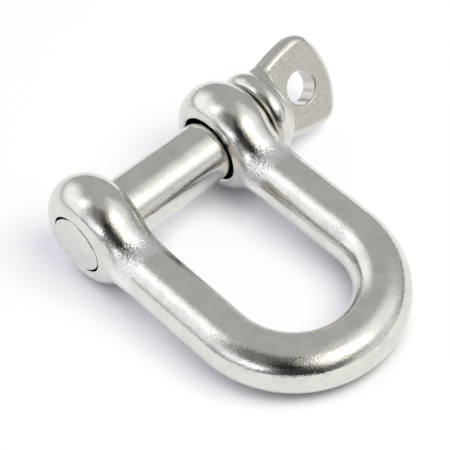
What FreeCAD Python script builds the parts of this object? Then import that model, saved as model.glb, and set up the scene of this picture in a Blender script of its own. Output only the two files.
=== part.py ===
# Dee shackle with a screw collar pin, lying on its side.
# Frame: X along the pin, head at +X. Y away from the crown. Z up. Origin on the pin's axis, mid-jaw.
import FreeCAD
import Part
import Sketcher
import os

# Driving sizes: millimetres, degrees where the name says angle, and plain ratios where it says share
# or turns. cut_over is how far a cutting outline runs past the surface that it cuts.
SIZES = {
    "bar_dia": 7.1,
    "jaw_width": 14.6,
    "crown_drop": 22.1,
    "ear_wall": 3.4,
    "ear_crown": 1.25,
    "ear_round": 0.7,
    "neck_inset": 0.1,
    "neck_end_share": 1.26,
    "pin_dia": 8.0,
    "hole_slack": 0.65,
    "hole_bevel": 0.4,
    "thread_pitch": 1.25,
    "thread_depth_share": 0.544,
    "thread_crest_share": 0.125,
    "flank_angle": 30.0,
    "thread_step": 0.16,
    "thread_gap": 0.1,
    "mouth_bevel": 0.5,
    "relief_turns": 1.04,
    "relief_step": 0.1,
    "seat_step": 0.25,
    "collar_wall": 1.6,
    "collar_width": 3.0,
    "collar_crown": 0.9,
    "collar_gap": 0.1,
    "collar_slack": 0.05,
    "hub_wall": 0.85,
    "hub_rim": 0.5,
    "hub_reach": 2.7,
    "hub_inset": 0.1,
    "hub_curve_share": 2.0,
    "tab_thick": 2.8,
    "tab_root_width": 9.6,
    "tab_corner_width": 13.0,
    "tab_corner_reach": 8.4,
    "tab_reach": 10.7,
    "tab_corner_round": 1.3,
    "tab_edge_round": 0.9,
    "tab_angle": 55.0,
    "eye_dia": 4.5,
    "eye_reach": 5.35,
    "eye_bevel": 0.25,
    "cut_over": 0.1,
}

# Sizes that follow from the driving ones.
LAYOUT = {
    "bar_rad": "Sizes.bar_dia / 2",
    "shank_rad": "Sizes.pin_dia / 2",
    "ear_rad": "shank_rad + Sizes.ear_wall",
    "leg_x": "(Sizes.jaw_width + Sizes.bar_dia) / 2",
    "crown_y": "-Sizes.crown_drop",
    "jaw_x": "Sizes.jaw_width / 2",
    "cheek_x": "jaw_x + Sizes.bar_dia",
    "lie_angle": "asin((ear_rad - bar_rad) / (Sizes.crown_drop + leg_x)) / 1 deg",
    # ear: a barrel about the pin, as wide as the bar is thick, with rounded face edges
    "ear_face_rad": "ear_rad - Sizes.ear_crown",
    "ear_flat_rad": "ear_face_rad - Sizes.ear_round",
    "ear_in_x": "jaw_x + Sizes.ear_round",
    "ear_out_x": "cheek_x - Sizes.ear_round",
    "ear_round_rad": "ear_in_x - jaw_x",
    "barrel_half": "bar_rad - Sizes.ear_round",
    "barrel_rad": "(barrel_half ^ 2 + Sizes.ear_crown ^ 2) / (2 * Sizes.ear_crown)",
    # neck: oval sections between the ear and the bar
    "neck_half_width": "bar_rad - Sizes.neck_inset",
    "neck_end_y": "-ear_rad * Sizes.neck_end_share",
    # pin holes
    "hole_rad": "shank_rad + Sizes.hole_slack",
    "hole_in_x": "jaw_x + Sizes.hole_bevel",
    "hole_out_x": "cheek_x - Sizes.hole_bevel",
    "hole_mouth_rad": "hole_rad + Sizes.hole_bevel + Sizes.cut_over",
    "hole_start_x": "jaw_x - Sizes.cut_over",
    "hole_end_x": "cheek_x + Sizes.cut_over",
    # thread
    "crest_rad": "shank_rad - Sizes.thread_step",
    "relief_width": "Sizes.thread_pitch * Sizes.relief_turns",
    "thread_depth": "Sizes.thread_pitch * Sizes.thread_depth_share",
    "root_rad": "crest_rad - thread_depth",
    "tap_core_rad": "root_rad + Sizes.thread_gap",
    "tap_major_rad": "crest_rad + Sizes.thread_gap",
    "flank": "tan(Sizes.flank_angle * 1 deg)",
    "side_gap": "Sizes.thread_gap / cos(Sizes.flank_angle * 1 deg)",
    "ridge_crest_half": "Sizes.thread_pitch * Sizes.thread_crest_share / 2",
    "ridge_root_half": "ridge_crest_half + thread_depth * flank",
    "groove_root_half": "Sizes.thread_pitch / 2 - ridge_root_half",
    "groove_open_rad": "crest_rad + Sizes.cut_over",
    "groove_open_half": "Sizes.thread_pitch / 2 - ridge_crest_half + Sizes.cut_over * flank",
    "tap_major_half": "ridge_crest_half + side_gap - Sizes.thread_gap * flank",
    "tap_open_rad": "tap_core_rad - Sizes.cut_over",
    "tap_open_half": "tap_major_half + (tap_major_rad - tap_open_rad) * flank",
    "tap_start_x": "-cheek_x - Sizes.thread_pitch",
    "tap_open_low_x": "tap_start_x - tap_open_half",
    "tap_open_high_x": "tap_start_x + tap_open_half",
    "tap_crest_low_x": "tap_start_x - tap_major_half",
    "tap_crest_high_x": "tap_start_x + tap_major_half",
    "tap_length": "Sizes.bar_dia + 2 * Sizes.thread_pitch",
    "tap_bevel": "shank_rad + Sizes.thread_gap - tap_core_rad",
    "tap_in_mouth_rad": "tap_core_rad + tap_bevel + Sizes.cut_over",
    "tap_in_x": "-jaw_x - tap_bevel",
    "tap_out_x": "-cheek_x + Sizes.mouth_bevel",
    "tap_out_mouth_rad": "tap_core_rad + Sizes.mouth_bevel + Sizes.cut_over",
    "tap_cut_in_x": "-jaw_x + Sizes.cut_over",
    "tap_cut_out_x": "-cheek_x - Sizes.cut_over",
    # pin, in its own plane
    "seat_rad": "shank_rad + Sizes.seat_step",
    "tip_x": "-cheek_x",
    "tip_rad": "crest_rad - Sizes.mouth_bevel",
    "tip_bevel_x": "tip_x + Sizes.mouth_bevel",
    "thread_end_x": "-jaw_x - relief_width",
    "shank_start_x": "-jaw_x",
    "relief_rad": "root_rad - Sizes.relief_step",
    "seat_start_x": "cheek_x + Sizes.collar_gap",
    "seat_end_x": "seat_start_x + Sizes.collar_width + Sizes.collar_gap",
    "hub_rad": "seat_rad + Sizes.hub_wall",
    "hub_rim_x": "seat_end_x + Sizes.hub_rim",
    "hub_end_x": "seat_end_x + Sizes.hub_reach",
    "hub_end_rad": "Sizes.tab_thick / 2 - Sizes.hub_inset",
    "hub_curve_rad": "Sizes.hub_reach * Sizes.hub_curve_share",
    # half a pitch from the tapped ridge, and on by the share of a turn that the pin is turned in its body
    "groove_start_x": "tap_start_x + Sizes.thread_pitch * (Sizes.tab_angle / 360 - 1 / 2)",
    "groove_open_low_x": "groove_start_x - groove_open_half",
    "groove_open_high_x": "groove_start_x + groove_open_half",
    "groove_root_low_x": "groove_start_x - groove_root_half",
    "groove_root_high_x": "groove_start_x + groove_root_half",
    "groove_length": "thread_end_x + relief_width / 2 - groove_start_x",
    # collar ring
    "collar_in_x": "seat_start_x",
    "collar_out_x": "seat_start_x + Sizes.collar_width",
    "collar_bore_rad": "seat_rad + Sizes.collar_slack",
    "collar_face_rad": "seat_rad + Sizes.collar_wall - Sizes.collar_crown",
    "collar_half": "Sizes.collar_width / 2",
    "collar_curve_rad": "(collar_half ^ 2 + Sizes.collar_crown ^ 2) / (2 * Sizes.collar_crown)",
    # tab, in the pin's plane
    "tab_root_half": "Sizes.tab_root_width / 2",
    "tab_corner_half": "Sizes.tab_corner_width / 2",
    "tab_corner_x": "seat_end_x + Sizes.tab_corner_reach",
    "tab_bow": "Sizes.tab_reach - Sizes.tab_corner_reach",
    "tab_tip_rad": "(tab_corner_half ^ 2 + tab_bow ^ 2) / (2 * tab_bow)",
    "eye_x": "seat_end_x + Sizes.eye_reach",
    "eye_rad": "Sizes.eye_dia / 2",
    "pin_lie_angle": "lie_angle + Sizes.tab_angle",
}

# Oval sections of the neck: how far below the pin's axis, as a share of the ear's radius, and how much
# of the step from bar to ear is left in their height.
NECK_SECTIONS = {
    "neck_top": (0.60, 0.44),
    "neck_middle": (0.82, 0.22),
    "neck_low": (1.04, 0.06),
}

START = 1
END = 2
CENTRE = 3
ORIGIN = -1
X_AXIS_GEOMETRY = -1
MATCH = 1e-6
X_AXIS = FreeCAD.Vector(1, 0, 0)
Z_AXIS = FreeCAD.Vector(0, 0, 1)
ZERO = FreeCAD.Vector(0, 0, 0)


def fill_sheet(doc, name, cells, prefix):
    """Make a spreadsheet with one aliased cell per size."""
    sheet = doc.addObject("Spreadsheet::Sheet", name)
    for row, (alias, content) in enumerate(cells.items(), start=1):
        cell = f"B{row}"
        sheet.set(f"A{row}", alias)
        sheet.set(cell, f"{prefix}{content}")
        sheet.setAlias(cell, alias)
    doc.recompute()
    return sheet


def neck_cells():
    """Formulas for the neck's oval sections."""
    cells = {}
    for name, (drop_share, rise_share) in NECK_SECTIONS.items():
        cells[f"{name}_drop"] = f"ear_rad * {drop_share}"
        cells[f"{name}_half_height"] = f"bar_rad + (ear_rad - bar_rad) * {rise_share}"
    return cells


def origin_plane(body, role):
    """Find one of a body's own origin planes."""
    return next(item for item in body.Origin.OriginFeatures if item.Role == role)


def new_body(doc, label):
    """Make an empty body named after its sub-part."""
    body = doc.addObject("PartDesign::Body", label)
    body.Label = label
    return body


def new_sketch(body, name, role):
    """Make a sketch on one of the body's own origin planes."""
    sketch = body.newObject("Sketcher::SketchObject", name)
    sketch.AttachmentSupport = [(origin_plane(body, role), "")]
    sketch.MapMode = "FlatFace"
    return sketch


def bound(sketch, kind, *arguments, value, source):
    """Add a dimension to a sketch and bind it to a cell."""
    index = sketch.addConstraint(Sketcher.Constraint(kind, *arguments, value))
    sketch.setExpression(f"Constraints[{index}]", source)


def end_at(sketch, geometry, point):
    """Say which end of a curve lies at a point."""
    if (sketch.getPoint(geometry, START) - point).Length < MATCH:
        return START
    return END


def sign_and_cell(name):
    """Split a cell's name from the minus sign that may stand before it."""
    if name.startswith("-"):
        return -1, name[1:]
    return 1, name


def fix_point(sketch, geometry, position, corner, layout):
    """Hold a curve's end at the place its two cells give."""
    x_name, y_name, _ = corner
    bound(sketch, "DistanceX", ORIGIN, START, geometry, position,
          value=layout.get(x_name), source=f"Layout.{x_name}")
    if y_name is None:
        sketch.addConstraint(Sketcher.Constraint("PointOnObject", geometry, position, X_AXIS_GEOMETRY))
        return
    sign, cell = sign_and_cell(y_name)
    bound(sketch, "DistanceY", ORIGIN, START, geometry, position,
          value=sign * layout.get(cell), source=f"{sign} * Layout.{cell}")


def corner_point(corner, layout):
    """Read a corner's place from its cells."""
    x_name, y_name, _ = corner
    height = 0.0
    if y_name is not None:
        sign, cell = sign_and_cell(y_name)
        height = sign * layout.get(cell)
    return FreeCAD.Vector(layout.get(x_name), height, 0)


def arc_between(first, last, radius, side):
    """Make the short arc of a given radius that bulges to one side of its chord."""
    chord = last - first
    middle = (first + last) / 2
    across = FreeCAD.Vector(-chord.y, chord.x, 0).normalize()
    rise = radius - (radius ** 2 - (chord.Length / 2) ** 2) ** 0.5
    return Part.Arc(first, middle + across * (side * rise), last)


def closed_profile(sketch, layout, corners):
    """Draw a closed outline; a corner may name the radius of the arc that leaves it."""
    points = [corner_point(corner, layout) for corner in corners]
    curves = []
    for index, corner in enumerate(corners):
        first = points[index]
        last = points[(index + 1) % len(points)]
        if corner[2] is None:
            curves.append(sketch.addGeometry(Part.LineSegment(first, last)))
        else:
            radius_name, side = corner[2]
            arc = arc_between(first, last, layout.get(radius_name), side)
            curves.append(sketch.addGeometry(arc))
    for index, corner in enumerate(corners):
        curve = curves[index]
        before = curves[index - 1]
        position = end_at(sketch, curve, points[index])
        sketch.addConstraint(Sketcher.Constraint(
            "Coincident", before, end_at(sketch, before, points[index]), curve, position))
        fix_point(sketch, curve, position, corner, layout)
        if corner[2] is not None:
            radius_name = corner[2][0]
            bound(sketch, "Radius", curve,
                  value=layout.get(radius_name), source=f"Layout.{radius_name}")


def circle_at(sketch, layout, x_name, radius_name):
    """Draw a circle centred on the sketch's X axis."""
    centre = FreeCAD.Vector(layout.get(x_name), 0, 0)
    radius = layout.get(radius_name)
    circle = sketch.addGeometry(Part.Circle(centre, Z_AXIS, radius))
    bound(sketch, "Radius", circle, value=radius, source=f"Layout.{radius_name}")
    bound(sketch, "DistanceX", ORIGIN, START, circle, CENTRE, value=centre.x, source=f"Layout.{x_name}")
    sketch.addConstraint(Sketcher.Constraint("PointOnObject", circle, CENTRE, X_AXIS_GEOMETRY))


def turned(body, kind, name, layout, corners):
    """Revolve an outline about the pin's axis, adding or cutting."""
    sketch = new_sketch(body, f"{name}Profile", "XY_Plane")
    closed_profile(sketch, layout, corners)
    feature = body.newObject(kind, name)
    feature.Profile = sketch
    feature.ReferenceAxis = (sketch, ["H_Axis"])
    feature.Angle = 360
    body.Document.recompute()
    return feature


def threaded(body, name, layout, corners, length_name):
    """Cut a right-hand helical groove about the pin's axis."""
    sketch = new_sketch(body, f"{name}Profile", "XY_Plane")
    closed_profile(sketch, layout, corners)
    helix = body.newObject("PartDesign::SubtractiveHelix", name)
    helix.Profile = sketch
    helix.ReferenceAxis = (sketch, ["H_Axis"])
    helix.Mode = 0
    helix.LeftHanded = False
    helix.setExpression("Pitch", "Sizes.thread_pitch")
    helix.setExpression("Height", f"Layout.{length_name}")
    body.Document.recompute()
    return helix


def lay_down(body, angle_name):
    """Turn a body about the pin's axis to the angle it lies at."""
    body.Placement = FreeCAD.Placement(ZERO, FreeCAD.Rotation(X_AXIS, 1))
    body.setExpression(".Placement.Rotation.Angle", f"Layout.{angle_name} * 1 deg")
    body.Document.recompute()


def picked_edges(feature, wanted):
    """Name the edges of a feature that pass a test."""
    edges = enumerate(feature.Shape.Edges, start=1)
    return [f"Edge{number}" for number, edge in edges if wanted(edge)]


def rounded(body, name, base, edges, size_name):
    """Fillet some edges of a feature."""
    fillet = body.newObject("PartDesign::Fillet", name)
    fillet.Base = (base, edges)
    fillet.setExpression("Radius", f"Sizes.{size_name}")
    body.Document.recompute()
    return fillet


def neck_section(body, layout, name):
    """Draw one upright oval of the neck, square to the leg."""
    sketch = new_sketch(body, f"{name}_section", "XZ_Plane")
    sketch.setExpression(".AttachmentOffset.Base.z", f"Layout.{name}_drop")
    half_height = layout.get(f"{name}_half_height")
    half_width = layout.get("neck_half_width")
    centre = FreeCAD.Vector(layout.get("leg_x"), 0, 0)
    top = centre + FreeCAD.Vector(0, half_height, 0)
    side = centre + FreeCAD.Vector(half_width, 0, 0)
    oval = sketch.addGeometry(Part.Ellipse(top, side, centre))
    sketch.exposeInternalGeometry(oval)
    major = oval + 1
    minor = oval + 2
    bound(sketch, "DistanceX", ORIGIN, START, oval, CENTRE, value=centre.x, source="Layout.leg_x")
    sketch.addConstraint(Sketcher.Constraint("PointOnObject", oval, CENTRE, X_AXIS_GEOMETRY))
    sketch.addConstraint(Sketcher.Constraint("Vertical", major))
    bound(sketch, "Distance", major, value=2 * half_height, source=f"2 * Layout.{name}_half_height")
    bound(sketch, "Distance", minor, value=2 * half_width, source="2 * Layout.neck_half_width")
    return sketch


def bar_section(body, layout):
    """Draw the bar's round section where the neck ends."""
    sketch = new_sketch(body, "BarSection", "XZ_Plane")
    sketch.setExpression(".AttachmentOffset.Base.z", "-Layout.neck_end_y")
    circle_at(sketch, layout, "leg_x", "bar_rad")
    return sketch


def bar_path(body, layout):
    """Draw the centre line of both legs and the crown."""
    sketch = new_sketch(body, "BarPath", "XY_Plane")
    leg_x = layout.get("leg_x")
    end_y = layout.get("neck_end_y")
    crown_y = layout.get("crown_y")
    near_end = FreeCAD.Vector(leg_x, end_y, 0)
    near_turn = FreeCAD.Vector(leg_x, crown_y, 0)
    bottom = FreeCAD.Vector(0, crown_y - leg_x, 0)
    far_turn = FreeCAD.Vector(-leg_x, crown_y, 0)
    far_end = FreeCAD.Vector(-leg_x, end_y, 0)
    near_leg = sketch.addGeometry(Part.LineSegment(near_end, near_turn))
    crown = sketch.addGeometry(Part.Arc(near_turn, bottom, far_turn))
    far_leg = sketch.addGeometry(Part.LineSegment(far_turn, far_end))
    for leg, turn, sign in ((near_leg, near_turn, 1), (far_leg, far_turn, -1)):
        corner = end_at(sketch, leg, turn)
        free = START + END - corner
        arc_end = end_at(sketch, crown, turn)
        sketch.addConstraint(Sketcher.Constraint("Coincident", leg, corner, crown, arc_end))
        sketch.addConstraint(Sketcher.Constraint("Vertical", leg))
        bound(sketch, "DistanceX", ORIGIN, START, leg, free,
              value=sign * leg_x, source=f"{sign} * Layout.leg_x")
        bound(sketch, "DistanceY", ORIGIN, START, leg, free, value=end_y, source="Layout.neck_end_y")
        bound(sketch, "DistanceY", ORIGIN, START, leg, corner, value=crown_y, source="Layout.crown_y")
    bound(sketch, "DistanceY", ORIGIN, START, crown, CENTRE, value=crown_y, source="Layout.crown_y")
    return sketch


def shackle_body(doc, layout):
    """The forged bow: bar, two necks and two ears, one bored and one tapped."""
    body = new_body(doc, "shackle_body")
    section = bar_section(body, layout)
    path = bar_path(body, layout)
    bar = body.newObject("PartDesign::AdditivePipe", "Bar")
    bar.Profile = section
    bar.Spine = (path, [])
    doc.recompute()

    ovals = [neck_section(body, layout, name) for name in NECK_SECTIONS]
    neck = body.newObject("PartDesign::AdditiveLoft", "Neck")
    neck.Profile = ovals[0]
    neck.Sections = ovals[1:] + [section]
    doc.recompute()

    ear = turned(body, "PartDesign::Revolution", "Ear", layout, (
        ("jaw_x", None, None),
        ("jaw_x", "ear_flat_rad", ("ear_round_rad", 1)),
        ("ear_in_x", "ear_face_rad", ("barrel_rad", 1)),
        ("ear_out_x", "ear_face_rad", ("ear_round_rad", 1)),
        ("cheek_x", "ear_flat_rad", None),
        ("cheek_x", None, None),
    ))
    mirrored = body.newObject("PartDesign::Mirrored", "FarSide")
    mirrored.Originals = [neck, ear]
    mirrored.MirrorPlane = (origin_plane(body, "YZ_Plane"), [""])
    body.Tip = mirrored
    doc.recompute()

    turned(body, "PartDesign::Groove", "PinHole", layout, (
        ("hole_start_x", None, None),
        ("hole_start_x", "hole_mouth_rad", None),
        ("hole_in_x", "hole_rad", None),
        ("hole_out_x", "hole_rad", None),
        ("hole_end_x", "hole_mouth_rad", None),
        ("hole_end_x", None, None),
    ))
    turned(body, "PartDesign::Groove", "TapHole", layout, (
        ("tap_cut_out_x", None, None),
        ("tap_cut_out_x", "tap_out_mouth_rad", None),
        ("tap_out_x", "tap_core_rad", None),
        ("tap_in_x", "tap_core_rad", None),
        ("tap_cut_in_x", "tap_in_mouth_rad", None),
        ("tap_cut_in_x", None, None),
    ))
    threaded(body, "TapThread", layout, (
        ("tap_open_low_x", "tap_open_rad", None),
        ("tap_crest_low_x", "tap_major_rad", None),
        ("tap_crest_high_x", "tap_major_rad", None),
        ("tap_open_high_x", "tap_open_rad", None),
    ), "tap_length")
    lay_down(body, "lie_angle")
    return body


def on_tab_corner(edge, layout):
    """Whether an edge is one of the tab's two outer corners."""
    first, last = edge.Vertexes[0].Point, edge.Vertexes[-1].Point
    upright = abs(first.z - last.z) > MATCH
    return upright and abs(first.x - layout.get("tab_corner_x")) < MATCH


def on_tab_outline(edge, layout):
    """Whether an edge runs round the rim of either face, leaving out the root."""
    root_x = layout.get("seat_end_x")
    points = [vertex.Point for vertex in edge.Vertexes]
    level = abs(points[0].z - points[-1].z) < MATCH
    at_root = all(abs(point.x - root_x) < MATCH for point in points)
    return level and not at_root


def tab(body, layout):
    """The flat tab: a rounded fan with an eye."""
    outline = new_sketch(body, "TabOutline", "XY_Plane")
    closed_profile(outline, layout, (
        ("seat_end_x", "-tab_root_half", None),
        ("tab_corner_x", "-tab_corner_half", ("tab_tip_rad", -1)),
        ("tab_corner_x", "tab_corner_half", None),
        ("seat_end_x", "tab_root_half", None),
    ))
    pad = body.newObject("PartDesign::Pad", "Tab")
    pad.Profile = outline
    pad.SideType = "Symmetric"
    pad.setExpression("Length", "Sizes.tab_thick")
    body.Document.recompute()
    corners = picked_edges(pad, lambda edge: on_tab_corner(edge, layout))
    fan = rounded(body, "TabCorners", pad, corners, "tab_corner_round")
    rim = picked_edges(fan, lambda edge: on_tab_outline(edge, layout))
    rounded(body, "TabRim", fan, rim, "tab_edge_round")
    tab_eye(body, layout)


def tab_eye(body, layout):
    """Cut the eye through the tab and bevel both its mouths."""
    sketch = new_sketch(body, "EyeCircle", "XY_Plane")
    circle_at(sketch, layout, "eye_x", "eye_rad")
    eye = body.newObject("PartDesign::Pocket", "Eye")
    eye.Profile = sketch
    eye.Type = "ThroughAll"
    eye.SideType = "Symmetric"
    body.Document.recompute()
    radius = layout.get("eye_rad")
    mouths = picked_edges(eye, lambda edge: (
        isinstance(edge.Curve, Part.Circle) and abs(edge.Curve.Radius - radius) < MATCH))
    bevel = body.newObject("PartDesign::Chamfer", "EyeBevel")
    bevel.Base = (eye, mouths)
    bevel.setExpression("Size", "Sizes.eye_bevel")
    body.Document.recompute()


def screw_pin(doc, layout):
    """The pin: threaded tip, plain shank, seat under the collar, hub and tab."""
    body = new_body(doc, "screw_pin")
    tab(body, layout)
    turned(body, "PartDesign::Revolution", "Shank", layout, (
        ("tip_x", None, None),
        ("tip_x", "tip_rad", None),
        ("tip_bevel_x", "crest_rad", None),
        ("thread_end_x", "crest_rad", None),
        ("thread_end_x", "relief_rad", None),
        ("shank_start_x", "relief_rad", None),
        ("shank_start_x", "shank_rad", None),
        ("seat_start_x", "shank_rad", None),
        ("seat_start_x", "seat_rad", None),
        ("seat_end_x", "seat_rad", None),
        ("seat_end_x", "hub_rad", None),
        ("hub_rim_x", "hub_rad", ("hub_curve_rad", -1)),
        ("hub_end_x", "hub_end_rad", None),
        ("hub_end_x", None, None),
    ))
    threaded(body, "PinThread", layout, (
        ("groove_open_low_x", "groove_open_rad", None),
        ("groove_root_low_x", "root_rad", None),
        ("groove_root_high_x", "root_rad", None),
        ("groove_open_high_x", "groove_open_rad", None),
    ), "groove_length")
    lay_down(body, "pin_lie_angle")
    return body


def pin_collar(doc, layout):
    """The collar: a ring with a rounded rim, seated on the pin between ear and hub."""
    body = new_body(doc, "pin_collar")
    turned(body, "PartDesign::Revolution", "Ring", layout, (
        ("collar_in_x", "collar_bore_rad", None),
        ("collar_in_x", "collar_face_rad", ("collar_curve_rad", 1)),
        ("collar_out_x", "collar_face_rad", None),
        ("collar_out_x", "collar_bore_rad", None),
    ))
    lay_down(body, "lie_angle")
    return body


def check_and_write(doc, bodies):
    """Stop on any broken object, then write one file per sub-part."""
    doc.recompute()
    for item in doc.Objects:
        if "Invalid" in item.State or "Error" in item.State:
            raise RuntimeError(f"{item.Name}: {item.State}")
    os.makedirs("parts", exist_ok=True)
    for body in bodies:
        shape = body.Shape
        if shape.isNull() or not shape.isValid():
            raise RuntimeError(f"{body.Label}: bad shape")
        print(f"{body.Label}: {shape.Volume:.1f} mm3, {len(shape.Solids)} solid")
        shape.exportStep(f"parts/{body.Label}.step")


def main():
    """Build the three pieces and write them."""
    doc = FreeCAD.newDocument("Shackle")
    fill_sheet(doc, "Sizes", SIZES, "")
    layout = fill_sheet(doc, "Layout", {**LAYOUT, **neck_cells()}, "=")
    bodies = [shackle_body(doc, layout), screw_pin(doc, layout), pin_collar(doc, layout)]
    check_and_write(doc, bodies)


main()
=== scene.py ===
import math

import bpy
import numpy as np
from mathutils import Matrix, Vector


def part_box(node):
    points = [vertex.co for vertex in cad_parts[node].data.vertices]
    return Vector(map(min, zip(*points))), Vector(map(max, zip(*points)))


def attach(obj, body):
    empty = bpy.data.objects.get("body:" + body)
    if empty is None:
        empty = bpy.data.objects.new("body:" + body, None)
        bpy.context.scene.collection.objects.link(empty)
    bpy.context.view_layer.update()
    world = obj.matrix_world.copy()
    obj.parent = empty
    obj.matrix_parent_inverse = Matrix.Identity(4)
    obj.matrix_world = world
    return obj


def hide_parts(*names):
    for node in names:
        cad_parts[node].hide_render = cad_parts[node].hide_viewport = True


# A dee shackle lying on its side with its screw pin home. The bow and the pin are drawn as smooth
# solids, each the zero level of a distance-like field, and meshed here. Fields are in millimetres in a
# lying-flat frame: X along the pin, Y away from the crown, Z up. Meshes are turned to the angle that
# the shackle rests at and scaled to metres.

METRES = 0.001

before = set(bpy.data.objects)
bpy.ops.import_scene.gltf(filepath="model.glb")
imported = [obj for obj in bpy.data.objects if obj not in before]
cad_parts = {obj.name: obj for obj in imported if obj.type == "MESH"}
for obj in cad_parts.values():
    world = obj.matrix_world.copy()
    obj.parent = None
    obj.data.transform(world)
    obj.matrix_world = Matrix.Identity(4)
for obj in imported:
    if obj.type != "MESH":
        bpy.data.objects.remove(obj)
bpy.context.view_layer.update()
bow_low, bow_high = [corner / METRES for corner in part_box("shackle_body")]
_, pin_high = [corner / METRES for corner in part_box("screw_pin")]
ring_low, ring_high = [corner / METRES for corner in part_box("pin_collar")]

# ---- sizes, in millimetres ----

# Bow
BAR_RAD = 3.55
CHEEK_X = bow_high.x
JAW_X = CHEEK_X - 2 * BAR_RAD
LEG_X = (CHEEK_X + JAW_X) / 2
EAR_RAD = bow_high.z
CROWN_DROP = 22.1
LIE_ANGLE = math.asin((EAR_RAD - BAR_RAD) / (CROWN_DROP + LEG_X))
EAR_RIM_RAD = 3.9
EAR_FACE_BLEND = 0.55
NECK_BLEND = 2.2
NECK_TOP_Y = -0.7 * EAR_RAD
NECK_END_Y = -1.3 * EAR_RAD
FACE_RELEASE = 0.8
HOLE_RAD = 4.45
HOLE_EDGE = 0.45

# Screw thread, with the flats and flanks of a metric one
PITCH = 1.25
CREST_RAD = 3.84
ROOT_RAD = 3.16
THREAD_GAP = 0.1
CREST_HALF = PITCH / 16
FLANK_SLOPE = math.tan(math.radians(60))
RELIEF_RAD = 3.06
TAP_BEVEL = 0.84
TIP_RAD = 3.84
TIP_WEAR = 0.2
TIP_WEAR_DEPTH = 0.3
TIP_WEAR_ANGLE = math.radians(-11)
MOUTH_RAD = 3.94
MOUTH_DEPTH = 0.7
MOUTH_EDGE = 0.12
FAR_PROUD = 0.15
RUN_OUT_SLOPE = 1.5
THREAD_FIELD_SHARE = 0.6
RELIEF_TURNS = 1.04
THREAD_START_X = -CHEEK_X - PITCH
THREAD_END_X = -JAW_X - RELIEF_TURNS * PITCH

# Pin
SHANK_RAD = 4.0
SHANK_EDGE = 0.25
SHANK_OVERLAP = 0.05
TAB_ANGLE = math.radians(55)
RING_IN_X = ring_low.x
RING_OUT_X = ring_high.x
RING_RAD = ring_high.z
RING_TUBE_RAD = 1.75
RING_EDGE = 0.5
HUB_RAD = 4.7
HUB_LENGTH = 1.0
RING_HUB_BLEND = 0.5
TIP_X = pin_high.x
TAB_HALF = 1.4
TAB_ROOT_HALF = 4.9
TAB_SIDE_BULGE = 0.36
TAB_END_BOW = 2.3
TAB_CORNER_X = TIP_X - TAB_END_BOW
TAB_CORNER_HALF = 6.5
TAB_CORNER_ROUND = 1.5
TAB_RIM_WIDTH = 1.65
TAB_RIM_DEPTH = 1.25
TAB_CROWN = 0.08
TAB_CREASE = 0.08
TAB_HUB_BLEND = 1.3
EYE_X = 22.95
EYE_RAD = 2.25
EYE_EDGE = 0.3

# Meshing
BOW_STEP = 0.2
PIN_STEP = 0.14
MARGIN = 0.6
PROJECTIONS = 4
PROBE = 0.01
LEAST_STEEPNESS = 0.05
LEAST_MOVE = 1e-9


# ---- field tools ----

def blended(first, second, width):
    """Join two fields with a fillet about as wide as width."""
    overlap = np.maximum(width - np.abs(first - second), 0) / width
    return np.minimum(first, second) - overlap * overlap * width / 4


def trimmed(first, second, width):
    """Keep what is inside both fields, with a rounded edge."""
    return -blended(-first, -second, width)


def eased(value, low, high):
    """Rise smoothly from 0 at low to 1 at high."""
    share = np.clip((value - low) / (high - low), 0, 1)
    return share * share * (3 - 2 * share)


def eased_from(value, edge, band):
    """Rise smoothly over a band measured from an edge."""
    return eased(value, edge + band[0], edge + band[1])


def rounded_meet(first, second, radius):
    """Keep what is inside both fields, with an edge of one radius."""
    a = first + radius
    b = second + radius
    outside = np.hypot(np.maximum(a, 0), np.maximum(b, 0))
    return outside + np.minimum(np.maximum(a, b), 0) - radius


def ridge_offset(x, angle, start):
    """Distance along X to the middle of the nearest turn of the thread."""
    turns = (x - start) / PITCH - angle / (2 * math.pi)
    return np.abs(turns - np.round(turns)) * PITCH


# ---- bow ----

def bow_outline(y, z):
    """The bow seen along the pin: an ear that fillets into the bar."""
    ear = np.hypot(y, z) - EAR_RAD
    bar = np.hypot(z, np.maximum(y, 0)) - BAR_RAD
    return blended(ear, bar, NECK_BLEND)


def tapped_hole(x, reach, angle):
    """The threaded hole, with a plain mouth outside and a cone on the jaw side."""
    crest_half = CREST_HALF + THREAD_GAP / 2
    depth = np.clip((ridge_offset(x, angle, THREAD_START_X) - crest_half) * FLANK_SLOPE, 0, 1)
    threaded = np.maximum(CREST_RAD + THREAD_GAP - depth, ROOT_RAD + THREAD_GAP)
    cone = ROOT_RAD + THREAD_GAP + TAP_BEVEL + (x + JAW_X)
    mouth = np.maximum(reach - MOUTH_RAD, x + CHEEK_X - MOUTH_DEPTH)
    return np.minimum((reach - np.maximum(threaded, cone)) * THREAD_FIELD_SHARE, mouth)


def bow_field(x, y, z):
    """The forged bow, with its plain hole on the +X side and its tapped hole on the other."""
    beyond = np.minimum(y + CROWN_DROP, 0)
    across = np.hypot(x, beyond) - LEG_X
    ear_share = eased(y, NECK_END_Y, NECK_TOP_Y)
    depth = -np.where(y > -CROWN_DROP, bow_outline(y, z), np.abs(z) - BAR_RAD)
    rim_rad = BAR_RAD + (EAR_RIM_RAD - BAR_RAD) * ear_share
    forging = np.hypot(across, np.maximum(rim_rad - depth, 0)) - rim_rad
    proud = np.where((x < 0) & (across > 0), FAR_PROUD, 0)
    face = np.abs(across) - BAR_RAD - proud - FACE_RELEASE * (1 - ear_share)
    forging = trimmed(forging, face, EAR_FACE_BLEND)
    reach = np.hypot(y, z)
    angle = np.arctan2(z, y)
    hole = np.where(x > 0, reach - HOLE_RAD, tapped_hole(x, reach, angle))
    edge = np.where(x > 0, HOLE_EDGE, MOUTH_EDGE)
    return trimmed(forging, -hole, edge)


# ---- pin ----

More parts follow.
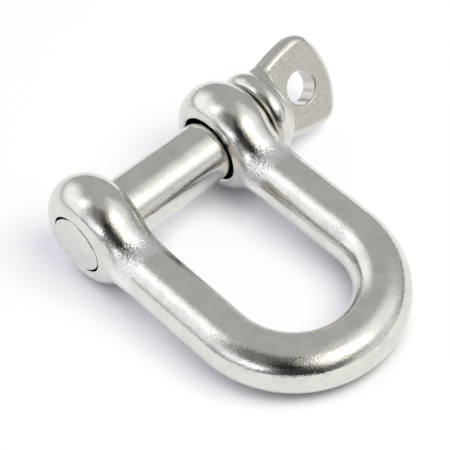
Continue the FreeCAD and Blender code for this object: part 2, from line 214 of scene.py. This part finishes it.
def pin_thread_rad(x, angle):
    """Radius of the pin's threaded length at a turn about its axis."""
    start = THREAD_START_X + PITCH * TAB_ANGLE / (2 * math.pi)
    depth = np.maximum((ridge_offset(x, angle, start) - CREST_HALF) * FLANK_SLOPE, 0)
    threaded = np.maximum(CREST_RAD - depth, ROOT_RAD)
    run_out = RELIEF_RAD + np.maximum(THREAD_END_X - x, 0) * RUN_OUT_SLOPE
    return np.minimum(threaded, run_out)


def worn_tip_rad(x, angle):
    """Radius of the tip's edge, worn back on two opposite sides."""
    wear = TIP_WEAR * np.maximum(np.cos(2 * (angle - TIP_WEAR_ANGLE)), 0) ** 2
    return TIP_RAD - wear + np.maximum(x + CHEEK_X - TIP_WEAR_DEPTH, 0)


def shank_field(x, reach, angle):
    """The round part of the pin from its tip to under the collar."""
    worn = worn_tip_rad(x, angle)
    threaded = (reach - np.minimum(pin_thread_rad(x, angle), worn)) * THREAD_FIELD_SHARE
    tip_end = -(x + CHEEK_X + FAR_PROUD)
    threaded = np.maximum(threaded, np.maximum(tip_end, x + JAW_X - SHANK_OVERLAP))
    disc = trimmed(reach - np.minimum(TIP_RAD, worn), tip_end, MOUTH_EDGE)
    disc = np.maximum(disc, x + CHEEK_X - MOUTH_DEPTH + THREAD_GAP)
    plain = trimmed(reach - SHANK_RAD, -(x + JAW_X), SHANK_EDGE)
    plain = np.maximum(plain, x - RING_OUT_X)
    return np.minimum(np.minimum(threaded, disc), plain)


def ring_field(x, reach):
    """The collar: a thick washer with a fully rounded rim."""
    middle = (RING_IN_X + RING_OUT_X) / 2
    half = (RING_OUT_X - RING_IN_X) / 2
    rim = np.hypot(x - middle, np.maximum(reach - RING_RAD + RING_TUBE_RAD, 0)) - RING_TUBE_RAD
    return trimmed(rim, np.abs(x - middle) - half, RING_EDGE)


def bulged_side(x, across):
    """One side of the fan: an arc through its root and its corner."""
    run = TAB_CORNER_X - RING_OUT_X
    rise = TAB_CORNER_HALF - TAB_ROOT_HALF
    chord = math.hypot(run, rise)
    radius = (chord * chord / 4 + TAB_SIDE_BULGE ** 2) / (2 * TAB_SIDE_BULGE)
    back = radius - TAB_SIDE_BULGE
    centre_x = (TAB_CORNER_X + RING_OUT_X) / 2 + back * rise / chord
    centre_across = (TAB_CORNER_HALF + TAB_ROOT_HALF) / 2 - back * run / chord
    return np.hypot(x - centre_x, np.abs(across) - centre_across) - radius


def tab_outline(x, across):
    """The fan seen flat on: bulged flared sides and a bowed end with rounded corners."""
    end_rad = (TAB_CORNER_HALF ** 2 + TAB_END_BOW ** 2) / (2 * TAB_END_BOW)
    end = np.hypot(x - TIP_X + end_rad, across) - end_rad
    return rounded_meet(bulged_side(x, across), end, TAB_CORNER_ROUND)


def pin_field(x, y, z):
    """The whole pin: threaded tip, shank, collar, hub, tab and eye. The tab lies in the XY plane."""
    reach = np.hypot(y, z)
    angle = np.arctan2(z, y)
    body = np.minimum(shank_field(x, reach, angle), ring_field(x, reach))
    hub = rounded_meet(reach - HUB_RAD, x - RING_OUT_X - HUB_LENGTH, HUB_LENGTH / 2)
    hub = np.maximum(hub, RING_IN_X + HUB_LENGTH - x)
    side = np.maximum(tab_outline(x, y) / TAB_RIM_WIDTH + 1, 0)
    face = np.maximum((np.abs(z) - TAB_HALF - TAB_CROWN) / TAB_RIM_DEPTH + 1, 0)
    tab = (np.hypot(side, face) - 1) * TAB_RIM_DEPTH
    tab = trimmed(tab, np.abs(z) - TAB_HALF, TAB_CREASE)
    tab = np.maximum(tab, RING_IN_X + HUB_LENGTH - x)
    head = blended(hub, tab, TAB_HUB_BLEND)
    head = trimmed(head, EYE_RAD - np.hypot(x - EYE_X, y), EYE_EDGE)
    return blended(body, head, RING_HUB_BLEND)


# ---- meshing ----

def gradient(field, points):
    """Slope of a field at some points, by central differences."""
    slope = np.empty_like(points)
    for axis in range(3):
        step = np.zeros(3)
        step[axis] = PROBE
        ahead = field(*(points + step).T)
        behind = field(*(points - step).T)
        slope[:, axis] = (ahead - behind) / (2 * PROBE)
    return slope


def net_of(field, low, high, step):
    """Points and quads of a field's zero level: one point per crossed cell of a grid."""
    axes = [np.arange(a - MARGIN, b + MARGIN, step) for a, b in zip(low, high)]
    values = field(*np.meshgrid(*axes, indexing="ij", sparse=True))
    shape = np.array(values.shape) - 1
    total = np.zeros((int(np.prod(shape)), 3))
    count = np.zeros(len(total))
    quads = []
    for axis in range(3):
        others = [(axis + 1) % 3, (axis + 2) % 3]
        near = np.moveaxis(values, axis, 0)[:-1]
        far = np.moveaxis(values, axis, 0)[1:]
        crossed = np.moveaxis((near < 0) != (far < 0), 0, axis)
        cells = np.argwhere(crossed)
        inner = np.all([(cells[:, o] > 0) & (cells[:, o] < shape[o]) for o in others], axis=0)
        cells = cells[inner]
        start = values[tuple(cells.T)]
        ends = cells.copy()
        ends[:, axis] += 1
        share = start / (start - values[tuple(ends.T)])
        place = np.stack([axes[i][cells[:, i]] for i in range(3)], axis=1)
        place[:, axis] += share * step
        corners = []
        for back in ((0, 0), (1, 0), (1, 1), (0, 1)):
            cell = cells.copy()
            for other, amount in zip(others, back):
                cell[:, other] -= amount
            flat = np.ravel_multi_index(tuple(cell.T), tuple(shape))
            for i in range(3):
                total[:, i] += np.bincount(flat, place[:, i], len(total))
            count += np.bincount(flat, minlength=len(total))
            corners.append(flat)
        quad = np.stack(corners, axis=1)
        quad[start > 0] = quad[start > 0][:, ::-1]
        quads.append(quad)
    used = count > 0
    number = np.cumsum(used) - 1
    return total[used] / count[used, None], number[np.concatenate(quads)]


def evened(points, quads):
    """Move each point to the middle of its neighbours."""
    total = np.zeros_like(points)
    count = np.zeros(len(points))
    for a, b in ((0, 1), (1, 2), (2, 3), (3, 0)):
        for i, j in ((a, b), (b, a)):
            count += np.bincount(quads[:, i], minlength=len(points))
            for axis in range(3):
                total[:, axis] += np.bincount(quads[:, i], points[quads[:, j], axis], len(points))
    return total / count[:, None]


def settled(field, points, limit):
    """Bring points onto the zero level along the slope."""
    for _ in range(PROJECTIONS):
        slope = gradient(field, points)
        steep = np.maximum((slope ** 2).sum(axis=1), LEAST_STEEPNESS)
        move = slope * (field(*points.T) / steep)[:, None]
        length = np.maximum(np.linalg.norm(move, axis=1), LEAST_MOVE)
        points = points - move * np.minimum(1, limit / length)[:, None]
    return points


def store(mesh, name, kind, values):
    """Keep a value for each point of a mesh."""
    attribute = mesh.attributes.new(name, kind, "POINT")
    field_name = "vector" if kind == "FLOAT_VECTOR" else "value"
    attribute.data.foreach_set(field_name, values.astype(np.float32).ravel())


def mesh_piece(name, field, values, low, high, step, turn):
    """Mesh a field as a piece lying at an angle about the pin's axis."""
    points, quads = net_of(field, low, high, step)
    points = settled(field, points, step / 2)
    points = settled(field, 0.5 * (points + evened(points, quads)), step / 2)
    normals = gradient(field, points)
    normals /= np.linalg.norm(normals, axis=1)[:, None]
    spin = np.array(Matrix.Rotation(turn, 3, "X"))
    mesh = bpy.data.meshes.new(name)
    mesh.from_pydata((points @ spin.T * METRES).tolist(), [], quads.tolist())
    mesh.polygons.foreach_set("use_smooth", np.ones(len(quads), dtype=bool))
    store(mesh, "place_mm", "FLOAT_VECTOR", points)
    for label, numbers in values(points, normals).items():
        store(mesh, label, "FLOAT_VECTOR" if numbers.ndim == 2 else "FLOAT", numbers)
    mesh.normals_split_custom_set_from_vertices((normals @ spin.T).tolist())
    mesh.validate()
    piece = bpy.data.objects.new(name, mesh)
    bpy.context.scene.collection.objects.link(piece)
    return piece


# ---- materials ----

# A noise is its features per millimetre, its detail and its roughness. A band is the range of a noise
# or of openness over which a look changes. A height is a bump's depth in metres, and a reach is a
# distance in metres. A strength, tilt, grain, share or roughness has no unit.

# Polish: a broad wave, drag lines, a fine speckle and flecks, under a cloudy colour
STEEL_COLOUR = (0.755, 0.735, 0.70)
DULL_SHARE = 0.9
BOW_ROUGHNESS = 0.065
BOW_GRAIN = 1.0
PIN_ROUGHNESS = 0.10
PIN_GRAIN = 0.8
CLOUD_NOISE = (0.45, 4.0, 0.6)
CLOUD_TINT_BAND = (0.35, 0.68)
CLOUD_ROUGH_BAND = (0.3, 0.75)
CLOUD_ROUGH_LEAST = 0.8
CLOUD_ROUGH_MOST = 1.3
WAVE_NOISE = (0.28, 1.0, 0.5)
WAVE_HEIGHT = 0.0004
WAVE_STRENGTH = 0.06
GRAIN_HEIGHT = 0.0001
DRAG_NOISE = (5.0, 2.0, 0.5)
DRAG_STRENGTH = 0.08
SPECKLE_NOISE = (4.2, 2.0, 0.7)
SPECKLE_STRENGTH = 0.14
SPECKLE_ROUGH_BAND = (0.45, 0.75)
SPECKLE_ROUGH = 0.5
FLECK_SCALE = 6.0
FLECK_BAND = (0.38, 0.62)
FLECK_LEAST = 0.07
FLECK_MOST = 0.24
TILT_DETAIL = 1.0
NOISE_MIDDLE = (0.5, 0.5, 0.5)

# Painted shade: steel darkened in the gaps where pieces meet
OPENNESS_SAMPLES = 8
GAP_SHADE_REACH = 0.0008
GAP_SHADE_BAND = (0.1, 0.5)
GAP_SHADE_COLOUR = (0.10, 0.095, 0.09)

# Ground necks of the ears: crinkled, and painted lighter as a painted highlight
NECK_HIGHLIGHT_COLOUR = (0.84, 0.835, 0.825)
CRINKLE_NOISE = (2.3, 3.0, 0.7)
CRINKLE_HEIGHT = 0.00024
CRINKLE_STRENGTH = 0.45
NECK_TILT_SCALE = 4.0
NECK_TILT = 0.45

# Blasted tab, coarser between the collar and the eye
SAND_DARK = (0.43, 0.41, 0.37)
SAND_LIGHT = (0.76, 0.74, 0.69)
GRIT_NOISE = (7.0, 2.0, 0.7)
GRIT_BAND = (0.3, 0.7)
PIT_NOISE = (1.4, 2.0, 0.6)
PIT_BAND = (0.35, 0.7)
PIT_ROUGHNESS = (0.40, 0.50)
GRIT_BUMP = 0.35
GRIT_TILT_SCALE = 7.0
GRIT_TILT = 0.4
COARSE_SHINE = 0.22
COARSE_SCALE = 4.5
COARSE_TILT = 1.5


def new_material(name):
    """A node material with its tree and shader."""
    material = bpy.data.materials.new(name)
    material.use_nodes = True
    tree = material.node_tree
    return material, tree, tree.nodes["Principled BSDF"]


def attribute_of(tree, name, output):
    """Read a value stored on the mesh."""
    node = tree.nodes.new("ShaderNodeAttribute")
    node.attribute_name = name
    return node.outputs[output]


def noise_of(tree, source, scale, detail, roughness):
    """A noise texture; its scale is in features per unit of its source."""
    noise = tree.nodes.new("ShaderNodeTexNoise")
    noise.inputs["Scale"].default_value = scale
    noise.inputs["Detail"].default_value = detail
    noise.inputs["Roughness"].default_value = roughness
    tree.links.new(source, noise.inputs["Vector"])
    return noise.outputs["Fac"]


def ranged(tree, source, low, high, to_low, to_high):
    """Map one range of values to another, smoothly."""
    node = tree.nodes.new("ShaderNodeMapRange")
    node.interpolation_type = "SMOOTHSTEP"
    limits = (("From Min", low), ("From Max", high), ("To Min", to_low), ("To Max", to_high))
    for name, value in limits:
        node.inputs[name].default_value = value
    tree.links.new(source, node.inputs["Value"])
    return node.outputs["Result"]


def maths(tree, operation, *inputs):
    """A maths node; an input is a socket or a number."""
    node = tree.nodes.new("ShaderNodeMath")
    node.operation = operation
    for index, value in enumerate(inputs):
        if isinstance(value, (int, float)):
            node.inputs[index].default_value = value
        else:
            tree.links.new(value, node.inputs[index])
    return node.outputs[0]


def bumped(tree, height, distance, strength, under=None):
    """Bump a surface by a height, over an earlier bump if there is one."""
    node = tree.nodes.new("ShaderNodeBump")
    node.inputs["Distance"].default_value = distance
    if isinstance(strength, float):
        node.inputs["Strength"].default_value = strength
    else:
        tree.links.new(strength, node.inputs["Strength"])
    tree.links.new(height, node.inputs["Height"])
    if under is not None:
        tree.links.new(under, node.inputs["Normal"])
    return node.outputs["Normal"]


def mixed(tree, factor, first, second):
    """Mix two colours; each is a socket or three numbers."""
    node = tree.nodes.new("ShaderNodeMix")
    node.data_type = "RGBA"
    sockets = [socket for socket in node.inputs if socket.type == "RGBA"]
    for socket, colour in zip(sockets, (first, second)):
        if isinstance(colour, tuple):
            socket.default_value = (*colour, 1)
        else:
            tree.links.new(colour, socket)
    tree.links.new(factor, node.inputs["Factor"])
    return next(socket for socket in node.outputs if socket.type == "RGBA")


def openness(tree, reach):
    """How open a surface is to its surroundings within a reach: 1 in the open, lower down in a gap."""
    node = tree.nodes.new("ShaderNodeAmbientOcclusion")
    node.samples = OPENNESS_SAMPLES
    node.inputs["Distance"].default_value = reach
    return node.outputs["AO"]


def tilted(tree, normal, source, scale, amount):
    """Tilt a normal at random, point by point, for a grain too fine to bump."""
    noise = tree.nodes.new("ShaderNodeTexNoise")
    noise.inputs["Scale"].default_value = scale
    noise.inputs["Detail"].default_value = TILT_DETAIL
    tree.links.new(source, noise.inputs["Vector"])
    centred = tree.nodes.new("ShaderNodeVectorMath")
    centred.operation = "SUBTRACT"
    tree.links.new(noise.outputs["Color"], centred.inputs[0])
    centred.inputs[1].default_value = NOISE_MIDDLE
    scaled = tree.nodes.new("ShaderNodeVectorMath")
    scaled.operation = "SCALE"
    tree.links.new(centred.outputs[0], scaled.inputs[0])
    tree.links.new(amount, scaled.inputs["Scale"])
    added = tree.nodes.new("ShaderNodeVectorMath")
    tree.links.new(normal, added.inputs[0])
    tree.links.new(scaled.outputs[0], added.inputs[1])
    unit = tree.nodes.new("ShaderNodeVectorMath")
    unit.operation = "NORMALIZE"
    tree.links.new(added.outputs[0], unit.inputs[0])
    return unit.outputs[0]


def polished(tree, place, trail, rough, grain):
    """Colour, roughness and bump of polished steel that keeps a fine grain under the polish, with
    painted shade darkening its colour in gaps.
    """
    speckle = noise_of(tree, place, *SPECKLE_NOISE)
    cloud = noise_of(tree, place, *CLOUD_NOISE)
    drag = noise_of(tree, trail, *DRAG_NOISE)
    wave = noise_of(tree, place, *WAVE_NOISE)
    darker = tuple(channel * DULL_SHARE for channel in STEEL_COLOUR)
    tint = mixed(tree, ranged(tree, cloud, *CLOUD_TINT_BAND, 0, 1), STEEL_COLOUR, darker)
    # Painted shade: the colour darkens toward near-black where the surface lies closed in by a gap
    # between pieces.
    unshaded = ranged(tree, openness(tree, GAP_SHADE_REACH), *GAP_SHADE_BAND, 0, 1)
    tint = mixed(tree, unshaded, GAP_SHADE_COLOUR, tint)
    clouded = ranged(tree, cloud, *CLOUD_ROUGH_BAND, rough * CLOUD_ROUGH_LEAST, rough * CLOUD_ROUGH_MOST)
    speckled = ranged(tree, speckle, *SPECKLE_ROUGH_BAND, 0, rough * SPECKLE_ROUGH)
    roughness = maths(tree, "ADD", clouded, speckled)
    normal = bumped(tree, wave, WAVE_HEIGHT, WAVE_STRENGTH)
    normal = bumped(tree, drag, GRAIN_HEIGHT, DRAG_STRENGTH * grain, normal)
    normal = bumped(tree, speckle, GRAIN_HEIGHT, SPECKLE_STRENGTH * grain, normal)
    fleck = ranged(tree, cloud, *FLECK_BAND, FLECK_LEAST * grain, FLECK_MOST * grain)
    normal = tilted(tree, normal, place, FLECK_SCALE, fleck)
    return tint, roughness, normal


def bow_steel():
    """Forged steel, polished, with ground necks that are crinkled and painted lighter as a painted
    highlight.
    """
    material, tree, shader = new_material("bow_polished_forging")
    place = attribute_of(tree, "place_mm", "Vector")
    trail = attribute_of(tree, "trail_mm", "Vector")
    neck = attribute_of(tree, "neck", "Fac")
    tint, roughness, normal = polished(tree, place, trail, BOW_ROUGHNESS, BOW_GRAIN)
    # Painted highlight: the necks take a lighter colour than the rest of the bow.
    tint = mixed(tree, neck, tint, NECK_HIGHLIGHT_COLOUR)
    crinkle = noise_of(tree, place, *CRINKLE_NOISE)
    strength = maths(tree, "MULTIPLY", neck, CRINKLE_STRENGTH)
    normal = bumped(tree, crinkle, CRINKLE_HEIGHT, strength, normal)
    normal = tilted(tree, normal, place, NECK_TILT_SCALE, maths(tree, "MULTIPLY", neck, NECK_TILT))
    shader.inputs["Metallic"].default_value = 1.0
    tree.links.new(tint, shader.inputs["Base Color"])
    tree.links.new(roughness, shader.inputs["Roughness"])
    tree.links.new(normal, shader.inputs["Normal"])
    return material


def pin_steel():
    """Polished shank and collar, and a grit-blasted tab."""
    material, tree, shader = new_material("pin_polished_and_blasted")
    place = attribute_of(tree, "place_mm", "Vector")
    trail = attribute_of(tree, "trail_mm", "Vector")
    matt = attribute_of(tree, "matt", "Fac")
    coarse = attribute_of(tree, "coarse", "Fac")
    tint, roughness, normal = polished(tree, place, trail, PIN_ROUGHNESS, PIN_GRAIN)
    grit = noise_of(tree, place, *GRIT_NOISE)
    pits = noise_of(tree, place, *PIT_NOISE)
    sand = mixed(tree, ranged(tree, grit, *GRIT_BAND, 0, 1), SAND_DARK, SAND_LIGHT)
    blasted = maths(tree, "SUBTRACT", ranged(tree, pits, *PIT_BAND, *PIT_ROUGHNESS),
                    maths(tree, "MULTIPLY", coarse, COARSE_SHINE))
    shader.inputs["Metallic"].default_value = 1.0
    tree.links.new(mixed(tree, matt, tint, sand), shader.inputs["Base Color"])
    both = tree.nodes.new("ShaderNodeMix")
    tree.links.new(matt, both.inputs["Factor"])
    tree.links.new(roughness, both.inputs["A"])
    tree.links.new(blasted, both.inputs["B"])
    tree.links.new(both.outputs["Result"], shader.inputs["Roughness"])
    gritted = bumped(tree, grit, GRAIN_HEIGHT, maths(tree, "MULTIPLY", matt, GRIT_BUMP), normal)
    gritted = tilted(tree, gritted, place, GRIT_TILT_SCALE, maths(tree, "MULTIPLY", matt, GRIT_TILT))
    gritted = tilted(tree, gritted, place, COARSE_SCALE, maths(tree, "MULTIPLY", coarse, COARSE_TILT))
    tree.links.new(gritted, shader.inputs["Normal"])
    return material


# ---- stage ----

# Camera, in metres, degrees and millimetres
CAMERA_PLACE = (-0.08847, -0.11979, 0.15105)
CAMERA_TURN = (42.71, 4.175, -43.595)
CAMERA_LENS = 136.65
SENSOR_WIDTH = 36
CLIP_START = 0.01
CLIP_END = 10

# Floor: lit from within as well as from above, with a painted contact shadow that dims its glow close
# under the shackle
FLOOR_HALF = 1.5
FLOOR_COLOUR = (0.20, 0.20, 0.20, 1)
FLOOR_GLOW_COLOUR = (0.90, 0.925, 1.0, 1)
FLOOR_ROUGHNESS = 0.9
FLOOR_GLOW = 0.64
CONTACT_SHADOW_GLOW = 0.05
CONTACT_SHADOW_REACH = 0.0065
CONTACT_SHADOW_LOW = 0.2
CONTACT_SHADOW_HIGH = 0.57

# Lamp over the floor: azimuth and elevation in degrees, distance and size in metres, watts
LAMP_AZIMUTH = -70
LAMP_ELEVATION = 58
LAMP_DISTANCE = 0.8
LAMP_SIZE = 0.45
LAMP_POWER = 12.0
LAMP_COLOUR = (1, 0.947, 0.77)

# Surroundings, as the metal reflects them. A row is azimuth, elevation, half width, half height and
# soft edge in degrees. Its last value is the share of light left in SHADES, the light added in PANELS,
# and the tint in TINTS.
AMBIENT = 0.51
SHADES = (
    (-146, 48, 22, 26, 7, 0.45),
    (-124, 16, 17, 45, 7, 0.26),
    (-121, 12, 37, 10, 5, 0.36),
    (165, 7, 6, 9, 5, 0.75),
    (-162, 4, 5, 5, 4, 0.72),
    (-72, 26, 7, 6, 5, 0.72),
    (-134, 34, 13, 9, 5, 0.40),
    (-114, 56, 8, 12, 6, 0.7),
)
PANELS = (
    (-84, 45, 18, 14, 14, 1.3),
    (-42, 43, 21, 24, 14, 0.54),
    (-63, -2, 27, 13, 9, 0.46),
    (124, 24, 33, 20, 14, 0.71),
    (143, 52, 6, 14, 10, 0.73),
    (188, 19, 17, 10, 10, 0.82),
    (117, 49, 7, 5, 4, 0.3),
    (82, 6, 6, 6, 4, 0.3),
    (147, 46, 9, 9, 7, 0.30),
    (-160, 17, 8, 6, 5, 0.7),
)
TINTS = (
    (-110, 45, 30, 30, 14, (1.03, 1.005, 0.955)),
    (124, 30, 36, 26, 14, (0.985, 1.0, 1.02)),
    (185, 17, 22, 12, 10, (0.95, 1.0, 1.05)),
)
NO_TINT = (1.0, 1.0, 1.0)

# Cosines between which a patch sets in, so that it has no twin on the other side
BEHIND = 0.02
AHEAD = 0.1

# Share of light left at the horizon, and the sine of the elevation that has all of it
HORIZON_DIM = 0.5
HORIZON_HEIGHT = 0.13

# Light that the camera sees past the floor
BACKDROP = 0.93


def direction(azimuth, elevation):
    """Unit vector at an azimuth from +X toward +Y and an elevation above the floor, in degrees."""
    a = math.radians(azimuth)
    e = math.radians(elevation)
    return Vector((math.cos(a) * math.cos(e), math.sin(a) * math.cos(e), math.sin(e)))


def make_camera():
    """A long lens above the crown, on the tip's side."""
    data = bpy.data.cameras.new("camera")
    data.sensor_width = SENSOR_WIDTH
    data.lens = CAMERA_LENS
    data.clip_start = CLIP_START
    data.clip_end = CLIP_END
    camera = bpy.data.objects.new("camera", data)
    bpy.context.scene.collection.objects.link(camera)
    camera.location = CAMERA_PLACE
    camera.rotation_euler = [math.radians(angle) for angle in CAMERA_TURN]
    bpy.context.scene.camera = camera


def make_floor(height):
    """A wide pale floor just under the shackle."""
    corners = [(x * FLOOR_HALF, y * FLOOR_HALF, height) for x, y in ((-1, -1), (1, -1), (1, 1), (-1, 1))]
    mesh = bpy.data.meshes.new("floor")
    mesh.from_pydata(corners, [], [(0, 1, 2, 3)])
    floor = bpy.data.objects.new("floor", mesh)
    bpy.context.scene.collection.objects.link(floor)
    material, tree, shader = new_material("floor_white")
    shader.inputs["Base Color"].default_value = FLOOR_COLOUR
    shader.inputs["Emission Color"].default_value = FLOOR_GLOW_COLOUR
    # Painted contact shadow: the floor's glow is dimmed where the shackle closes it in.
    unshaded = openness(tree, CONTACT_SHADOW_REACH)
    glow = ranged(tree, unshaded, CONTACT_SHADOW_LOW, CONTACT_SHADOW_HIGH, CONTACT_SHADOW_GLOW, FLOOR_GLOW)
    tree.links.new(glow, shader.inputs["Emission Strength"])
    shader.inputs["Roughness"].default_value = FLOOR_ROUGHNESS
    shader.inputs["Specular IOR Level"].default_value = 0.0
    mesh.materials.append(material)


def world_dot(tree, source, vector):
    """How far a direction points along a vector."""
    node = tree.nodes.new("ShaderNodeVectorMath")
    node.operation = "DOT_PRODUCT"
    tree.links.new(source, node.inputs[0])
    node.inputs[1].default_value = vector
    return node.outputs["Value"]


def soft_panel(tree, source, azimuth, elevation, half_width, half_height, edge, strength):
    """Light from a soft-edged upright rectangle that faces the object. Its sizes are in degrees."""
    middle = direction(azimuth, elevation)
    level = Vector((0, 0, 1)).cross(middle).normalized()
    rise = middle.cross(level)
    ahead = world_dot(tree, source, middle)
    safe = maths(tree, "MAXIMUM", ahead, BEHIND)
    light = ranged(tree, ahead, BEHIND, AHEAD, 0, strength)
    for axis, half in ((level, half_width), (rise, half_height)):
        offset = maths(tree, "ABSOLUTE", maths(tree, "DIVIDE", world_dot(tree, source, axis), safe))
        near = math.tan(math.radians(max(half - edge, 0)))
        far = math.tan(math.radians(half + edge))
        light = maths(tree, "MULTIPLY", light, ranged(tree, offset, near, far, 1, 0))
    return light


def make_world():
    """Soft studio light: pale surroundings with white panels and dark gaps, and a plain backdrop."""
    world = bpy.data.worlds.new("studio")
    bpy.context.scene.world = world
    world.use_nodes = True
    tree = world.node_tree
    source = tree.nodes.new("ShaderNodeTexCoord").outputs["Generated"]
    light = AMBIENT
    for *patch, share in SHADES:
        shade = soft_panel(tree, source, *patch, 1 - share)
        light = maths(tree, "MULTIPLY", light, maths(tree, "SUBTRACT", 1.0, shade))
    for panel in PANELS:
        light = maths(tree, "ADD", light, soft_panel(tree, source, *panel))
    height = world_dot(tree, source, Vector((0, 0, 1)))
    light = maths(tree, "MULTIPLY", light, ranged(tree, height, 0, HORIZON_HEIGHT, HORIZON_DIM, 1))
    seen = tree.nodes.new("ShaderNodeLightPath").outputs["Is Camera Ray"]
    unseen = maths(tree, "SUBTRACT", 1.0, seen)
    backdrop = maths(tree, "MULTIPLY", seen, BACKDROP)
    light = maths(tree, "ADD", maths(tree, "MULTIPLY", light, unseen), backdrop)
    tint = NO_TINT
    for *patch, colour in TINTS:
        tint = mixed(tree, soft_panel(tree, source, *patch, 1.0), tint, colour)
    background = tree.nodes["Background"]
    tree.links.new(mixed(tree, seen, tint, NO_TINT), background.inputs["Color"])
    tree.links.new(light, background.inputs["Strength"])


def make_lamp():
    """An area light that lights the floor and isn't seen in reflections."""
    data = bpy.data.lights.new("overhead", "AREA")
    data.size = LAMP_SIZE
    data.energy = LAMP_POWER
    data.color = LAMP_COLOUR
    light = bpy.data.objects.new("overhead", data)
    bpy.context.scene.collection.objects.link(light)
    towards = direction(LAMP_AZIMUTH, LAMP_ELEVATION)
    light.location = towards * LAMP_DISTANCE
    light.rotation_mode = "QUATERNION"
    light.rotation_quaternion = towards.to_track_quat("Z", "Y")
    light.visible_glossy = False
    light.visible_camera = False


# ---- building ----

# Bands where a finish sets in or fades, in millimetres from an edge
NECK_BAND_END = (-0.5, 0.7)
NECK_BAND_TOP = (-2.2, -0.4)
BLAST_START = (0.1, 0.7)
EYE_BARE = (0.02, 0.2)
COARSE_START = (0.3, 1.0)
COARSE_FADE = (1.5, -0.6)

# How squarely a face of the tab looks out of its flat, and the share of blasting left on its rim
FLAT_SLOPE = (0.93, 0.995)
RIM_BLAST = 0.15

# Shortening of the way along a drag line, which draws the noise out into lines
DRAG_SHARE = 0.12


def bow_values(points, normals):
    """Coordinates along the bar for the drag lines of the polish, and where the ears' necks are."""
    x, y, z = points.T
    beyond = np.minimum(y + CROWN_DROP, 0)
    along = np.where(y > -CROWN_DROP, y + CROWN_DROP, -LEG_X * np.arctan2(-beyond, np.abs(x)))
    across = np.hypot(x, beyond) - LEG_X
    neck = eased_from(y, NECK_END_Y, NECK_BAND_END) * (1 - eased_from(y, NECK_TOP_Y, NECK_BAND_TOP))
    return {"trail_mm": np.stack([along * DRAG_SHARE, across, z], axis=1), "neck": neck}


def pin_values(points, normals):
    """Coordinates round the shank for its turning lines, and where the tab is blasted and coarse."""
    x, y, z = points.T
    reach = np.hypot(y, z)
    trail = np.stack([x, reach, np.arctan2(z, y) * DRAG_SHARE], axis=1)
    matt = eased_from(x, RING_OUT_X, BLAST_START)
    matt *= eased_from(np.hypot(x - EYE_X, y), EYE_RAD, EYE_BARE)
    flat = eased(np.abs(normals[:, 2]), *FLAT_SLOPE)
    matt *= RIM_BLAST + (1 - RIM_BLAST) * flat
    fading = eased(x, RING_OUT_X + COARSE_FADE[0], EYE_X + COARSE_FADE[1])
    coarse = flat * (1 - fading) * eased_from(x, RING_OUT_X, COARSE_START)
    return {"trail_mm": trail, "matt": matt, "coarse": coarse}


make_camera()
make_floor(bow_low.z * METRES)
make_world()
make_lamp()

bow = mesh_piece("bow", bow_field, bow_values, (-CHEEK_X, -CROWN_DROP - LEG_X - BAR_RAD, -EAR_RAD),
                 (CHEEK_X, EAR_RAD, EAR_RAD), BOW_STEP, LIE_ANGLE)
bow.data.materials.append(bow_steel())
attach(bow, "shackle_body")
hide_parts("shackle_body")

pin = mesh_piece("pin", pin_field, pin_values, (-CHEEK_X, -TAB_CORNER_HALF, -RING_RAD),
                 (TIP_X, TAB_CORNER_HALF, RING_RAD), PIN_STEP, LIE_ANGLE + TAB_ANGLE)
pin.data.materials.append(pin_steel())
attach(pin, "screw_pin")
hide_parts("screw_pin", "pin_collar")

bpy.context.scene.view_settings.view_transform = "Standard"
